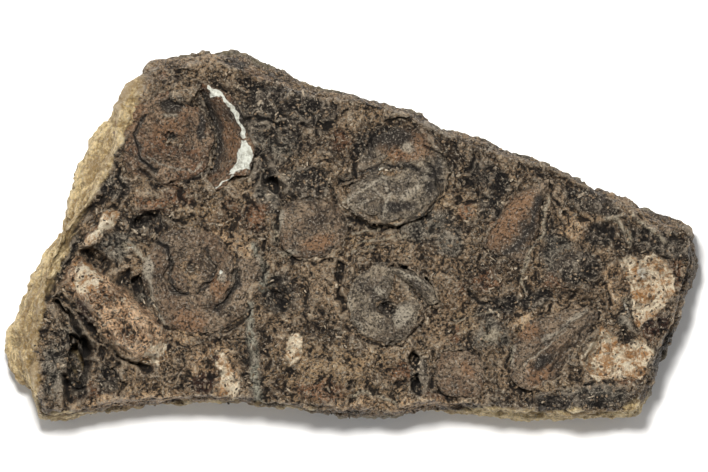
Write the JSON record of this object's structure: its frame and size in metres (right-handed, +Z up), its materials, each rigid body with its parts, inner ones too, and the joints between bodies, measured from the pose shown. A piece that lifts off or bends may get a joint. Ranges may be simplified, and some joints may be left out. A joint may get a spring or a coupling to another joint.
{
  "type": "fossil ammonite cluster",
  "caption": "Tapering slab of limestone with a dark, rough crust in which coiled ammonites and broken shells lie part buried; rests on its flat back.",
  "frame": {"origin": "middle of the slab's bounding box, on the flat back that it lies on", "axes": "+X along the slab's length towards its narrow end, +Y towards the sloping long side, +Z up out of the fossil face"},
  "size_m": [0.1885, 0.1012, 0.0352],
  "materials": {
    "matrix_rock": "rough dark weathered crust over buff yellow limestone",
    "fossil_shell_red_brown": "fine-grained red-brown replaced shell with white shell edge",
    "fossil_shell_brown": "fine-grained brown replaced shell, slightly satin",
    "fossil_shell_grey": "fine-grained grey-brown replaced shell with pale streaks"
  },
  "bodies": {
    "root": {"matrix_slab": "matrix_rock", "ammonite_upper_left": "fossil_shell_red_brown", "ammonite_lower_left": "fossil_shell_brown", "ammonite_upper_middle": "fossil_shell_grey", "ammonite_lower_middle": "fossil_shell_grey", "shell_disc_middle": "fossil_shell_brown", "shell_flank_right": "fossil_shell_brown", "shell_fan_lower_right": "fossil_shell_brown", "shell_disc_lower_right": "fossil_shell_brown"}
  },
  "joints": []
}
